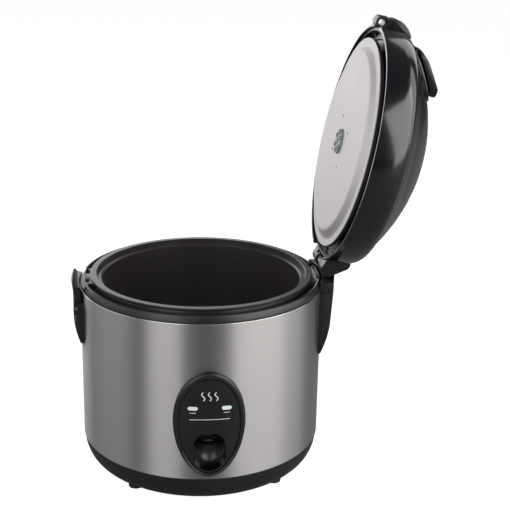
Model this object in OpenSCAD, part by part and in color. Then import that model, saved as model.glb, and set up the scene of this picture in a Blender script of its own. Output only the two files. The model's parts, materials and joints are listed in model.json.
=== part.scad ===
// Rice cooker with a steel band, a hinged lid, a lift-out pot and a lever switch.
// Millimetres, +Z up. The origin is on the table under the middle of the body,
// the control panel faces -Y, the lid's hinge is at +X and its latch at -X.

/* [Body] */
// Outer radius of the steel band
band_r = 108; // [107:0.5:109]
// Height of the steel band
band_h = 140.5; // [138:0.5:144]
// Sheet thickness of the band
band_t = 0.8; // [0.6:0.1:1]
// Height of the lower edge of the band above the table
base_h = 29.5; // [28:0.5:31]
// Height of the rubber feet
foot_h = 5; // [4:0.5:6]
// Radius of the flat underside of the base
base_low_r = 91; // [90:0.5:93]
// Height of the collar's pot seat above the band
seat_h = 8.6; // [8.4:0.1:8.8]
// Radius of the opening in the collar
mouth_r = 94.6; // [94.5:0.1:94.8]

/* [Pot] */
// Height of the pot from its underside to its rim
pot_h = 74; // [73:0.5:76]
// Outer radius of the pot wall
pot_r = 89.8; // [88:0.2:90]
// Sheet thickness of the pot
pot_t = 1.6; // [1.2:0.2:2]
// Outer radius of the pot rim
rim_r = 98.9; // [98:0.1:99]

/* [Lid] */
// Outer radius of the lid's side wall
lid_r = 105; // [104.5:0.1:105.2]
// Height of the crown above the band when closed
crown_h = 73; // [70:1:74]
// Radius of the soft edge between side wall and crown
crease_r = 96; // [95:0.5:98]
// Height of that edge above the band
crease_h = 38; // [36:0.5:40]
// Wall thickness of the lid cover
lid_t = 2.5; // [2:0.1:2.8]
// Radius of the inner plate
plate_r = 92.4; // [91:0.1:92.5]
// Angle at which the lid stands open
open_angle = 102.3; // [95:0.1:105]

/* [Hinge and latch] */
// Distance of the hinge axis from the middle of the body
hinge_x = 110.8; // [110.5:0.1:111.2]
// Height of the hinge axis above the band
hinge_up = 16; // [15.8:0.1:16.4]
// Radius of the hinge knuckles
knuckle_r = 6.5; // [6:0.1:6.6]
// Width of the hinge bracket
bracket_w = 68; // [64:1:72]
// Width of the latch housing
latch_w = 50; // [50:1:56]

/* [Controls] */
// Width of the control panel
panel_w = 61; // [58:1:64]
// Height of the control panel
panel_h = 95; // [90:1:96]
// Height of the panel's middle above the table
panel_z = 81.5; // [80:0.5:83]
// Height of the switch lever's middle
lever_z = 58; // [57:0.5:59]
// Distance of the lever's pivot in front of the middle of the body
pivot_y = 62; // [60:1:64]

/* [Hidden] */
$fn = 96;

steel = "#b4b1ae";
black_plastic = "#1d1f23";
gloss_black = "#15171b";
aluminium = "#c6c7c9";
zinc = "#a9acb0";
rubber = "#26272a";

band_top = base_h + band_h;
seat_z = band_top + seat_h;
rim_t = 1.8;
rim_z = seat_z + rim_t;
pot_z = rim_z - pot_h;
shoulder_z = rim_z - 4.1;
step_r = mouth_r - 0.4;
pot_corner = 8;
hinge_z = band_top + hinge_up;
skirt_z = band_top + 8;
lip_z = band_top + 10.5;
lip_r = 102.2;
plate_z = shoulder_z + 0.15;
floor_z = pot_z - 14.4;
liner_r = 98.3;
sheet = 1;
heater_top = pot_z - 0.1;
heater_t = 8;
heater_r = 74;
element_r = 50;
tube_r = 4;
pin_r = 2.5;
lever_pin_r = 2;
slack = 0.05;
latch_x = 111;
latch_z = band_top - 15;
latch_pin_r = 1.2;
lug_x = 107.8;
lug_z = band_top + 9.6;
lug_r = 5;
lug_w = 16;
lever_travel = 7;
gap = 0.3;
lens_x = 14.2;
lens_z = panel_z + 15.2;
vent_x = -77;
inlet_z = 62;
post_r = 62;
foot_spots = [45, 135, 225, 315];
screw_spots = [30, 150, 270];
lid_screw_spots = [40, 140, 220, 320];

// ---- shared shapes ----

function unit(v) = v / norm(v);
function tangent(p, i) = unit(p[min(i + 1, len(p) - 1)] - p[max(i - 1, 0)]);
function ring_at(p, i, r, n, ref) =
    let (t = tangent(p, i), s = unit(cross(t, ref)), u = cross(s, t))
    [for (k = [0 : n - 1]) p[i] + r * (cos(360 * k / n) * s + sin(360 * k / n) * u)];
// Cuts the corners of an open route once
function eased(p) = concat(
    [p[0]],
    [for (i = [0 : len(p) - 2]) each [p[i] * 0.75 + p[i + 1] * 0.25, p[i] * 0.25 + p[i + 1] * 0.75]],
    [p[len(p) - 1]]
);
// Points of a coil along +Z
function coil(r, z0, z1, turns, steps = 14) = [
    for (i = [0 : turns * steps])
        let (a = 360 * i / steps)
        [r * cos(a), r * sin(a), z0 + (z1 - z0) * i / (turns * steps)]
];

// A round bar that follows a route, with its section held square to ref
module wire(p, r, ref = [0, 0, 1], n = 8) {
    last = len(p) - 1;
    polyhedron(
        points = [for (i = [0 : last]) each ring_at(p, i, r, n, ref)],
        faces = concat(
            [[for (k = [0 : n - 1]) k]],
            [for (i = [0 : last - 1]) for (k = [0 : n - 1])
                [i * n + k, (i + 1) * n + k, (i + 1) * n + (k + 1) % n, i * n + (k + 1) % n]],
            [[for (k = [n - 1 : -1 : 0]) last * n + k]]
        ),
        convexity = 10
    );
}

module tube(r_out, r_in, h) {
    difference() {
        cylinder(r = r_out, h = h);
        translate([0, 0, -1])
            cylinder(r = r_in, h = h + 2);
    }
}

// A cylinder along Y, centred on the origin
module bar_y(r, l) {
    rotate([90, 0, 0])
        cylinder(r = r, h = l, center = true);
}

module box(x, y, z) {
    translate([x[0], y[0], z[0]])
        cube([x[1] - x[0], y[1] - y[0], z[1] - z[0]]);
}

// Swings the closed lid's geometry to its open place
module opened() {
    translate([hinge_x, 0, hinge_z])
        rotate([0, open_angle, 0])
            translate([-hinge_x, 0, -hinge_z])
                children();
}

// Egg outline, a little wider above its middle
module egg(w, h) {
    polygon([
        for (a = [0 : 7.5 : 352.5])
            [w / 2 * cos(a) * (1 + 0.05 * sin(a)), h / 2 * sin(a)]
    ]);
}

// An outline in X and Z pushed through the front wall between two distances
module front_cut(y_near, y_far) {
    translate([0, -y_near, 0])
        rotate([90, 0, 0])
            linear_extrude(y_far - y_near)
                children();
}

module egg_on_panel(w, h, y_near, y_far) {
    front_cut(y_near, y_far)
        translate([0, panel_z])
            egg(w, h);
}

// A slot with round ends standing upright in X and Z
module upright_slot(w, h) {
    square([w, h - w], center = true);
    for (s = [-1, 1])
        translate([0, s * (h - w) / 2])
            circle(d = w, $fn = 48);
}

// ---- body ----

module outer_shell() {
    color(steel)
        difference() {
            translate([0, 0, base_h])
                tube(band_r, band_r - band_t, band_h);
            egg_on_panel(48, 82, 90, 120);
            front_cut(90, 120)
                translate([0, lever_z - 1.5])
                    upright_slot(30.6, 38.6);
            box([-13, 13], [95, 115], [inlet_z - 10, inlet_z + 10]);
            for (s = [-1, 1]) {
                screw_line(s, 2.1);
                translate([0, s * 16, band_top - 32])
                    rotate([0, 90, 0])
                        cylinder(r = 2.1, h = 240, center = true, $fn = 32);
            }
        }
}

// The upper screw holes of the two side brackets, s = -1 and 1 along Y
module screw_line(s, r) {
    translate([0, s * 16, band_top - 14])
        rotate([0, 90, 0])
            cylinder(r = r, h = 240, center = true, $fn = 32);
}

module base_pan() {
    wall = 2.5;
    drop = base_h - foot_h;
    lip = band_r - band_t - 0.3;
    color(black_plastic)
        difference() {
            rotate_extrude()
                polygon(concat(
                    [[lip, base_h + 5], [lip, base_h]],
                    [for (a = [0 : 10 : 90])
                        [base_low_r + (band_r - 0.6 - base_low_r) * cos(a), base_h - drop * sin(a)]],
                    [[84.5, foot_h], [84.5, foot_h + 1.5], [74, foot_h + 1.5], [74, foot_h + 4]],
                    [for (a = [90 : -10 : 0])
                        [base_low_r - wall + (band_r - 0.6 - base_low_r) * cos(a),
                            base_h - 1 - (drop - 5) * sin(a)]],
                    [[lip - wall, base_h + 5]]
                ));
            for (a = screw_spots)
                rotate(a)
                    translate([79, 0, foot_h - 1])
                        cylinder(r = 1.75, h = 8, $fn = 32);
            for (a = foot_spots)
                rotate(a)
                    translate([87, 0, foot_h - 1])
                        cylinder(r = 2, h = 8, $fn = 32);
        }
}

module bottom_plate() {
    color(zinc)
        difference() {
            union() {
                translate([0, 0, foot_h])
                    cylinder(r = 84, h = 1.2);
                translate([0, 0, foot_h + 1.2])
                    tube(60, 58, 2);
            }
            for (a = screw_spots)
                rotate(a)
                    translate([79, 0, foot_h - 1])
                        cylinder(r = 1.75, h = 4, $fn = 32);
            translate([0, 0, foot_h - 1])
                cylinder(r = 2, h = 4, $fn = 32);
            for (a = [0 : 20 : 340])
                rotate(a)
                    box([28, 50], [-1.8, 1.8], [foot_h - 1, foot_h + 3]);
        }
}

module feet() {
    color(rubber)
        union() {
            for (a = foot_spots)
                rotate(a)
                    translate([87, 0, 0])
                        one_foot();
            one_foot();
        }
}

module one_foot() {
    cylinder(r1 = 6.4, r2 = 7, h = foot_h - 0.02, $fn = 48);
    translate([0, 0, foot_h - 0.1])
        cylinder(r = 1.95, h = 4, $fn = 32);
}

module base_screws() {
    color(zinc)
        for (a = screw_spots)
            rotate(a)
                translate([79, 0, foot_h - 2]) {
                    cylinder(r = 3.4, h = 1.95, $fn = 32);
                    translate([0, 0, 1.9])
                        cylinder(r = 1.7, h = 8, $fn = 32);
                }
}

module top_collar() {
    skirt_r = band_r - band_t - 0.2;
    color(black_plastic)
        difference() {
            union() {
                translate([0, 0, band_top])
                    rotate_extrude()
                        polygon([
                            [skirt_r, -8], [skirt_r, 0], [band_r - 0.2, 0], [band_r - 0.4, 2.4],
                            [106, 6.8], [105.2, 7.4], [103.9, 7], [103, 2.6], [98.4, 2.6],
                            [97.6, seat_h - 0.9], [96.7, seat_h], [mouth_r + 0.7, seat_h],
                            [mouth_r, seat_h - 0.7], [mouth_r, -14], [97.2, -14], [97.2, 0.6],
                            [104.6, 0.6], [104.6, -8]
                        ]);
                // filled stretches of the gutter beside the hinge and the latch
                intersection() {
                    translate([0, 0, band_top + 0.6])
                        tube(103.4, 97.4, 5.6);
                    union() {
                        box([80, 120], [-32, 32], [band_top, seat_z]);
                        box([-120, -80], [-21, 21], [band_top, seat_z]);
                    }
                }
            }
            // catch pockets beside the latch
            for (s = [-1, 1])
                box([-104, -99.4], [s * 12 - 5, s * 12 + 5], [band_top + 3, seat_z]);
            // drain dip beside the hinge
            translate([100.4, 0, band_top + 8])
                bar_y(3.6, 44);
            // the rim is lower where the latch passes
            box([-109, -103.2], [-26, 26], [band_top + 3.4, seat_z + 1]);
        }
}

module chamber_liner() {
    color(aluminium)
        difference() {
            translate([0, 0, floor_z])
                cylinder(r = liner_r, h = band_top + 0.4 - floor_z);
            translate([0, 0, floor_z + sheet])
                cylinder(r = liner_r - 0.8, h = band_h);
            translate([0, 0, floor_z - 1])
                cylinder(r = 20, h = 4);
            for (s = [-1, 1])
                translate([s * 14, sqrt(element_r * element_r - 196), floor_z - 1])
                    cylinder(r = 5.5, h = 4, $fn = 48);
        }
}

module heating_plate() {
    color(zinc)
        difference() {
            translate([0, 0, heater_top - heater_t])
                cylinder(r = heater_r, h = heater_t);
            translate([0, 0, heater_top - heater_t - 1])
                cylinder(r = 17, h = heater_t + 2);
            translate([0, 0, heater_top - heater_t])
                element_ring();
            for (s = [-1, 1])
                translate([s * 14, sqrt(element_r * element_r - 196), heater_top - heater_t - 8])
                    cylinder(r = 3.3, h = 8 + 2, $fn = 32);
        }
}

module element_ring() {
    rotate_extrude()
        translate([element_r, 0])
            circle(r = tube_r, $fn = 32);
}

module heating_element() {
    color("#8d8a86")
        translate([0, 0, heater_top - heater_t])
            union() {
                difference() {
                    element_ring();
                    box([-7, 7], [30, 60], [-6, 6]);
                }
                for (s = [-1, 1])
                    translate([s * 14, sqrt(element_r * element_r - 196), -16])
                        cylinder(r = 3, h = 15, $fn = 32);
            }
}

module plate_posts() {
    color(zinc)
        for (a = screw_spots)
            rotate(a)
                translate([post_r, 0, floor_z + sheet])
                    cylinder(r = 4, h = heater_top - heater_t - floor_z - sheet, $fn = 32);
}

module thermal_fuse() {
    color("#d8d2c4")
        translate([-50, 12, floor_z - 3.1])
            rotate([0, 90, 0]) {
                cylinder(r = 2.6, h = 16, $fn = 32);
                translate([0, 0, -8])
                    cylinder(r = 0.8, h = 32, $fn = 16);
            }
}

module sensor_guide() {
    z = floor_z - 3.5;
    color(zinc) {
        difference() {
            union() {
                translate([0, 0, z])
                    cylinder(r = 24, h = 1.5);
                translate([0, 0, z])
                    cylinder(r = 11.4, h = 7);
            }
            translate([0, 0, z - 1])
                cylinder(r = 10.4, h = 9);
        }
        for (a = screw_spots)
            rotate(a)
                translate([22, 0, z + 1.4])
                    cylinder(r = 1.8, h = 2.1, $fn = 24);
    }
}

module sensor_cap() {
    color(aluminium)
        translate([0, 0, floor_z + 2])
            difference() {
                cylinder(r = 15, h = heater_top - floor_z - 2);
                translate([0, 0, -1])
                    cylinder(r = 14.2, h = heater_top - floor_z - 2);
            }
}

module sensor_ferrite() {
    color("#3b3c3f")
        translate([0, 0, heater_top - 4.9])
            cylinder(r = 14.1, h = 3.8);
}

module sensor_spring() {
    color(zinc)
        wire(coil(12.8, floor_z - 1.3, heater_top - 5.6, 4), 0.6, n = 6);
}

module magnet() {
    color("#4a4b4f")
        translate([0, 0, floor_z - 5])
            cylinder(r = 9, h = 5);
}

module magnet_rod() {
    color(zinc) {
        translate([0, 0, lever_z - 8])
            cylinder(r = 2, h = floor_z - 5.02 - lever_z + 8, $fn = 32);
        translate([0, 0, lever_z + 2.8])
            cylinder(r = 4.4, h = 1.5, $fn = 32);
    }
}

module switch_bracket() {
    color(zinc)
        difference() {
            union() {
                for (s = [-1, 1])
                    box([s * 8.6 - 0.6, s * 8.6 + 0.6], [-pivot_y - 8, -pivot_y + 24],
                        [lever_z - 7, floor_z - 0.02]);
                box([-9.2, 9.2], [-pivot_y + 5, -pivot_y + 24], [floor_z - 1.2, floor_z - 0.02]);
                box([-9.2, 9.2], [-pivot_y + 5, -pivot_y + 24], [lever_z + 16, lever_z + 17.2]);
            }
            translate([0, -pivot_y, lever_z])
                rotate([0, 90, 0])
                    cylinder(r = lever_pin_r + slack, h = 40, center = true, $fn = 32);
        }
}

module lever_pivot_pin() {
    color(zinc)
        translate([0, -pivot_y, lever_z])
            rotate([0, 90, 0]) {
                cylinder(r = lever_pin_r, h = 22, center = true, $fn = 32);
                translate([0, 0, -11.6])
                    cylinder(r = 3.4, h = 1.2, $fn = 32);
            }
}

module microswitch() {
    color("#2b2d31") {
        box([-3.2, 3.2], [-57, -41], [lever_z + 5.8, lever_z + 15.9]);
        translate([0, -43, lever_z + 5.05])
            cylinder(r = 1.2, h = 1, $fn = 24);
    }
}

module lever_arm() {
    color("#c9c4b4")
        difference() {
            union() {
                box([-4, 4], [-97, 6], [lever_z - 2, lever_z + 2]);
                translate([0, -pivot_y, lever_z])
                    rotate([0, 90, 0])
                        cylinder(r = 5, h = 15, center = true, $fn = 48);
            }
            box([-2.5, 2.5], [-4, 7], [lever_z - 3, lever_z + 3]);
            translate([0, -pivot_y, lever_z])
                rotate([0, 90, 0])
                    cylinder(r = lever_pin_r + slack, h = 20, center = true, $fn = 32);
        }
}

module cook_lever() {
    z = lever_z + 2;
    color(black_plastic)
        difference() {
            union() {
                intersection() {
                    translate([0, -106.5, z])
                        bar_y(12.3, 7);
                    box([-13, 13], [-112, -100], [z - 14, z + 1.5]);
                }
                box([-11.8, 11.8], [-116, -104], [z - 0.9, z + 1.5]);
                box([-4, 4], [-104, -97.02], [lever_z - 2, lever_z + 2]);
            }
            // thumb scoop
            translate([0, -117, z - 4])
                sphere(r = 10.5);
        }
}

// ---- controls ----

module control_bezel() {
    color(black_plastic)
        difference() {
            intersection() {
                egg_on_panel(panel_w, panel_h, 90, 120);
                tube_band(band_r + 4.2, band_r + 0.02);
            }
            front_cut(80, 125)
                translate([0, panel_z - 2])
                    egg(panel_w - 9, panel_h - 9);
        }
}

module tube_band(r_out, r_in) {
    translate([0, 0, base_h])
        tube(r_out, r_in, band_h);
}

module control_fascia() {
    deep = 100.6;
    color(gloss_black)
        difference() {
            union() {
                intersection() {
                    front_cut(90, 125)
                        translate([0, panel_z - 2])
                            egg(panel_w - 9.3, panel_h - 9.3);
                    tube_band(band_r + 2.6, band_r + 0.02);
                }
                // the cup that the lever sits in
                front_cut(deep - 1.2, band_r + 1)
                    translate([0, lever_z - 1.5])
                        upright_slot(29.8, 37.8);
            }
            front_cut(deep, 125)
                translate([0, lever_z - 1.5])
                    upright_slot(27.4, 35.4);
            box([-5, 5], [-105, -90], [lever_z - 10, lever_z + 5]);
            for (s = [-1, 1])
                front_cut(90, 125)
                    translate([s * lens_x, lens_z])
                        rotate(90)
                            upright_slot(3.4, 8.4);
        }
}

module lens(s) {
    intersection() {
        front_cut(90, 125)
            translate([s * lens_x, lens_z])
                rotate(90)
                    upright_slot(3.2, 8.2);
        tube_band(band_r + 2.9, band_r - 0.6);
    }
}

module warm_lens() {
    color("white")
        lens(-1);
}

module cook_lens() {
    color("white")
        lens(1);
}

module lamp(s) {
    translate([s * lens_x, -102.05, lens_z])
        rotate([90, 0, 0])
            cylinder(r = 2.4, h = 3.4, $fn = 32);
}

module warm_lamp() {
    color("#e8b06a")
        lamp(-1);
}

module cook_lamp() {
    color("#e0704a")
        lamp(1);
}

module lamp_board() {
    color("#2f5a3a")
        box([-21, 21], [-102, -100.5], [lens_z - 8, lens_z + 8]);
}

// ---- mains inlet and wiring ----

module inlet_housing() {
    color(black_plastic)
        difference() {
            union() {
                box([-17, 17], [band_r + 0.2, band_r + 3], [inlet_z - 13, inlet_z + 13]);
                box([-12.8, 12.8], [86, band_r + 1], [inlet_z - 9.8, inlet_z + 9.8]);
            }
            box([-11, 11], [90, band_r + 5], [inlet_z - 8, inlet_z + 8]);
            for (p = [[-7, -3], [7, -3], [0, 4]])
                box([p[0] - 1.05, p[0] + 1.05], [80, 92], [inlet_z + p[1] - 2.05, inlet_z + p[1] + 2.05]);
        }
}

module inlet_pins() {
    color(zinc)
        for (p = [[-7, -3], [7, -3], [0, 4]])
            box([p[0] - 1, p[0] + 1], [80, 102], [inlet_z + p[1] - 2, inlet_z + p[1] + 2]);
}

module wiring() {
    z = inlet_z;
    fuse_z = floor_z - 3.1;
    end_z = heater_top - heater_t - 16.1;
    live = [
        [-7, 79, z - 3], [-7, 70, z - 6], [-24, 58, 58], [-50, 36, 62], [-66, 16, 74], [-58.8, 12, fuse_z]
    ];
    neutral = [[7, 79, z - 3], [7, 74, z - 8], [15, 62, 54], [15, 50, 56], [14, 48, 64], [14, 48, end_z]];
    link = [
        [-25.2, 12, fuse_z], [-19, 18, 76], [-16, 32, 66], [-14, 44, 62], [-14, 48, 66], [-14, 48, end_z]
    ];
    color("#b8453a")
        wire(eased(eased(live)), 1.1, ref = [0.3, 0.2, 1], n = 8);
    color("#3d62a8")
        wire(eased(eased(neutral)), 1.1, ref = [1, 0.1, 0], n = 8);
    color("#c9b13a")
        wire(eased(eased(link)), 1.1, ref = [1, 0.1, 0], n = 8);
}

// ---- hinge ----

module hinge_bracket() {
    half = bracket_w / 2;
    color(black_plastic)
        difference() {
            union() {
                intersection() {
                    translate([0, 0, band_top - 1.4])
                        tube(119, band_r + 0.05, 12.4);
                    union() {
                        box([90, 120], [-half, half], [band_top - 1.4, band_top + 7.4]);
                        box([116.6, 120], [-half + 4, half - 4], [band_top, band_top + 11]);
                    }
                }
                for (s = [-1, 1]) {
                    box([108.4, 116.7], [s * 10 - 3, s * 10 + 3], [band_top + 2.9, hinge_z]);
                    translate([hinge_x, s * 10, hinge_z])
                        bar_y(knuckle_r, 6);
                }
            }
            translate([hinge_x, 0, hinge_z])
                bar_y(pin_r + slack, 80);
            box([hinge_x + knuckle_r, 116.61], [-13.1, 13.1], [hinge_z - 4, hinge_z + 1]);
        }
}

module hinge_cover() {
    half = bracket_w / 2;
    color(black_plastic)
        difference() {
            intersection() {
                translate([0, 0, band_top])
                    rotate_extrude()
                        polygon([
                            [band_r + 0.05, -2], [118.9, -2], [118.9, -5], [118.4, -12], [117.6, -25],
                            [117, -35.5], [116.4, -39.3], [115.6, -43.2], [114.6, -47], [113.4, -50.9],
                            [112.1, -54.8], [110.6, -58.6], [109.3, -62.5], [band_r + 0.05, -65]
                        ]);
                side_outline(half, 64.6, 14);
            }
            for (s = [-1, 1])
                translate([100, s * 16, band_top - 32])
                    rotate([0, 90, 0])
                        cylinder(r = 2, h = 14, $fn = 32);
        }
}

// Plate outline in Y and Z at +X, round at its lower corners
module side_outline(half, depth, corner) {
    translate([90, 0, band_top])
        rotate([90, 0, 90])
            linear_extrude(40) {
                translate([-half, corner - depth])
                    square([2 * half, depth - corner + 20]);
                translate([corner - half, -depth])
                    square([2 * (half - corner), depth]);
                for (s = [-1, 1])
                    translate([s * (half - corner), corner - depth])
                        circle(r = corner, $fn = 48);
            }
}

module hinge_pin() {
    color(zinc)
        translate([hinge_x, 0, hinge_z])
            bar_y(pin_r, 45);
}

module hinge_spring() {
    color(zinc)
        translate([hinge_x, 0, hinge_z])
            rotate([90, 0, 0])
                wire(coil(4, -6, 6, 6, 12), 0.7, n = 6);
}

module bracket_screws() {
    color(zinc)
        for (t = [0, 180])
            rotate(t)
                for (s = [-1, 1])
                    translate([band_r - band_t - 3.6, s * 16, band_top - 32])
                        rotate([0, 90, 0]) {
                            cylinder(r = 3.6, h = 1.2, $fn = 32);
                            cylinder(r = 1.9, h = 7.6, $fn = 32);
                        }
}

// ---- latch ----

module latch_housing() {
    half = latch_w / 2;
    color(black_plastic)
        rotate(180)
            difference() {
                intersection() {
                    translate([0, 0, band_top])
                        rotate_extrude()
                            polygon([
                                [band_r + 0.05, -21.4], [114.1, -21.4], [114.7, -23], [114.6, -30],
                                [114.1, -35], [113.1, -40], [111.9, -44.5], [110.6, -48.5], [109.3, -51.2],
                                [band_r + 0.05, -52.2]
                            ]);
                    side_outline(half, 52, 13);
                }
                for (s = [-1, 1])
                    translate([100, s * 16, band_top - 32])
                        rotate([0, 90, 0])
                            cylinder(r = 2, h = 11.8, $fn = 32);
            }
}

module latch_ears() {
    half = latch_w / 2;
    color(black_plastic)
        rotate(180)
            difference() {
                union() {
                    for (s = [-1, 1])
                        box([102, 113.3], [s * (half - 1.3) - 1.3, s * (half - 1.3) + 1.3],
                            [band_top - 21.2, band_top - 10]);
                }
                translate([0, 0, band_top - 30])
                    cylinder(r = band_r + 0.05, h = 40);
                translate([latch_x, 0, latch_z])
                    bar_y(latch_pin_r + slack, 90);
            }
}

module latch_lever() {
    half = latch_w / 2 - 3;
    color(black_plastic)
        rotate(180)
            difference() {
                intersection() {
                    translate([0, 0, band_top])
                        rotate_extrude()
                            polygon([
                                [109, -20.6], [114, -20.6], [114.6, -18], [114.6, -4], [115.2, 0.6],
                                [115.7, 4], [115.6, 6.8], [115, 8.2], [114.2, 8.8], [109, 8.8]
                            ]);
                    box([90, 130], [-half, half], [band_top - 30, band_top + 20]);
                }
                translate([latch_x, 0, latch_z])
                    bar_y(latch_pin_r + slack, 90);
                translate([lug_x, 0, lug_z])
                    bar_y(lug_r + 1.4, 90);
                box([100, lug_x + lug_r + 1.4], [-40, 40], [lug_z, lug_z + 9]);
                translate([107, 0, band_top - 4])
                    rotate([0, 90, 0])
                        cylinder(r = 3.4, h = 5, $fn = 32);
            }
}

module latch_pin() {
    color(zinc)
        translate([-latch_x, 0, latch_z])
            bar_y(latch_pin_r, latch_w);
}

module latch_spring() {
    color(zinc)
        translate([-112, 0, band_top - 4])
            rotate([0, 90, 0])
                wire(coil(2.4, 0.6, 3.2, 3, 12), 0.4, n = 6);
}

// ---- pot ----

module inner_pot() {
    in_r = pot_r - pot_t;
    color("#cfd0d1")
        translate([0, 0, 0])
            rotate_extrude()
                polygon(concat(
                    [[0, pot_z]],
                    [for (a = [-90 : 15 : 0])
                        [pot_r - pot_corner + pot_corner * cos(a), pot_z + pot_corner + pot_corner * sin(a)]],
                    [[pot_r, shoulder_z - pot_t - 1.5], [pot_r + 1.6, shoulder_z - pot_t],
                        [step_r, shoulder_z - pot_t + 0.4], [step_r, seat_z + 0.02],
                        [rim_r - 0.6, seat_z + 0.02], [rim_r, seat_z + 0.6], [rim_r, rim_z - 0.6],
                        [rim_r - 0.6, rim_z], [step_r - 0.6, rim_z], [step_r - 1.2, rim_z - 0.6],
                        [step_r - 1.2, shoulder_z], [in_r + 1.4, shoulder_z],
                        [in_r, shoulder_z - 1.5]],
                    [for (a = [0 : -15 : -90])
                        [in_r - pot_corner + pot_t + (pot_corner - pot_t) * cos(a),
                            pot_z + pot_corner + (pot_corner - pot_t) * sin(a)]],
                    [[0, pot_z + pot_t]]
                ));
}

// ---- lid ----

// Outline of the lid's outside, or of a surface t inside it
function lid_outline(t) = concat(
    [[lid_r - t, skirt_z]],
    [for (a = [0 : 15 : 75])
        [crease_r + (lid_r - crease_r - t) * cos(a), band_top + 24 + (crease_h - 24 - t) * sin(a)]],
    [for (k = [1 : -0.125 : 0])
        [(crease_r - t * 0.8) * k, band_top + crease_h + (crown_h - crease_h) * (1 - pow(k, 2.2)) - t]]
);

module lid_cover() {
    color(gloss_black)
        opened()
            difference() {
                rotate_extrude()
                    polygon(concat(
                        lid_outline(0),
                        [for (p = [for (i = [len(lid_outline(lid_t)) - 1 : -1 : 0]) lid_outline(lid_t)[i]]) p]
                    ));
                box([99, 112], [-24.6, 24.6], [band_top, band_top + 35]);
                box([-112, -99], [-lug_w / 2 - 1.2, lug_w / 2 + 1.2], [band_top, band_top + 14]);
                translate([vent_x, 0, band_top])
                    cylinder(r = 9, h = 80);
            }
}

module lid_base() {
    ring = band_top + 17;
    color(black_plastic)
        opened()
            difference() {
                union() {
                    rotate_extrude()
                        polygon([
                            [0, ring + 2], [0, ring], [92.6, ring], [93.6, ring - 1], [99.4, ring - 1],
                            [99.8, lip_z], [lip_r, lip_z], [lip_r, band_top + 27], [100.2, band_top + 27],
                            [100.2, ring + 2]
                        ]);
                    // centre stud that the hub of the inner plate pushes onto
                    translate([0, 0, plate_z + 1])
                        cylinder(r = 4, h = ring - plate_z, $fn = 48);
                    // hinge arms
                    for (s = [-1, 1])
                        translate([0, s * 18.75, 0])
                            hinge_arm(10.5);
                }
                translate([hinge_x, 0, hinge_z])
                    bar_y(pin_r + slack, 45.2);
                translate([vent_x, 0, band_top])
                    cylinder(r = 7.05, h = 80);
                for (a = lid_screw_spots)
                    rotate(a)
                        translate([96.4, 0, ring - 4])
                            cylinder(r = 1.75, h = 12, $fn = 32);
            }
}

// One arm from the hinge axis to the lid's ring, w wide along Y
module hinge_arm(w) {
    rotate([90, 0, 0])
        linear_extrude(w, center = true) {
            translate([hinge_x, hinge_z])
                circle(r = knuckle_r, $fn = 64);
            polygon([
                [101.2, lip_z + 2], [hinge_x - 2.5, hinge_z - 6], [hinge_x + 4.4, hinge_z + 4.8],
                [106.8, band_top + 33], [104, band_top + 34.4], [101.2, band_top + 34.4]
            ]);
        }
}

module lid_screws() {
    color(zinc)
        opened()
            for (a = lid_screw_spots)
                rotate(a)
                    translate([96.4, 0, band_top + 14.2]) {
                        difference() {
                            cylinder(r = 3, h = 1.78, $fn = 32);
                            for (b = [0, 90])
                                rotate(b)
                                    translate([-1.8, -0.35, -0.1])
                                        cube([3.6, 0.7, 0.9]);
                        }
                        translate([0, 0, 1.7])
                            cylinder(r = 1.7, h = 8, $fn = 32);
                    }
}

module inner_plate() {
    t = 0.8;
    top = plate_z + t;
    color(aluminium)
        opened()
            difference() {
                rotate_extrude()
                    polygon([
                        [0, plate_z - 4.4], [78, plate_z - 4.4], [80, plate_z - 3.8], [84.6, plate_z - 0.6],
                        [86.6, plate_z], [plate_r, plate_z], [plate_r, top], [86, top],
                        [84, top - 0.4], [79.6, top - 3.6], [77.4, top - 4.4], [0, top - 4.4]
                    ]);
                translate([0, 0, plate_z - 10])
                    cylinder(r = 8, h = 20);
                for (a = [61 : 90 : 331])
                    rotate(a)
                        translate([24, 0, plate_z - 10])
                            cylinder(r = 1.4, h = 20, $fn = 32);
            }
}

module plate_gasket() {
    color(rubber)
        opened()
            translate([0, 0, plate_z + 0.82])
                tube(92.4, 87.5, 2.4);
}

module plate_hub() {
    low = plate_z - 4.4;
    color("#8a8d90")
        opened()
            difference() {
                union() {
                    translate([0, 0, low - 2])
                        cylinder(r = 11, h = 2);
                    translate([0, 0, low - 0.02])
                        cylinder(r = 7.95, h = 8.4);
                    translate([0, 0, low + 0.82])
                        cylinder(r = 9.6, h = 1.8);
                    for (a = [0 : 60 : 300])
                        rotate(a)
                            translate([8, 0, low - 3])
                                cylinder(r = 1.7, h = 1.5, $fn = 24);
                }
                translate([0, 0, low + 4])
                    cylinder(r = 4.05, h = 8, $fn = 48);
                translate([0, 0, low - 4])
                    cylinder(r = 2.4, h = 3, $fn = 32);
            }
}

// ---- steam vent ----

// Height of the crown's outside above the table at a distance from the middle
function crown_z(r) = band_top + crease_h + (crown_h - crease_h) * (1 - pow(r / crease_r, 2.2));

module vent_platform() {
    color(gloss_black)
        opened()
            difference() {
                intersection() {
                    rotate_extrude()
                        polygon(concat(
                            [for (r = [14 : 8 : 94]) [r, crown_z(r) + 0.05]],
                            [[96.4, crown_z(96.4) + 0.4]],
                            [for (r = [94 : -8 : 14]) [r, crown_z(r) + (r > 90 ? 1.8 : 2.6)]]
                        ));
                    translate([vent_x + 1, 0, band_top])
                        linear_extrude(80) {
                            square([48, 22], center = true);
                            square([28, 42], center = true);
                            for (x = [-1, 1])
                                for (y = [-1, 1])
                                    translate([x * 14, y * 11])
                                        circle(r = 10, $fn = 64);
                        }
                }
                translate([vent_x, 0, band_top])
                    cylinder(r = 9, h = 80);
            }
}

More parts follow.
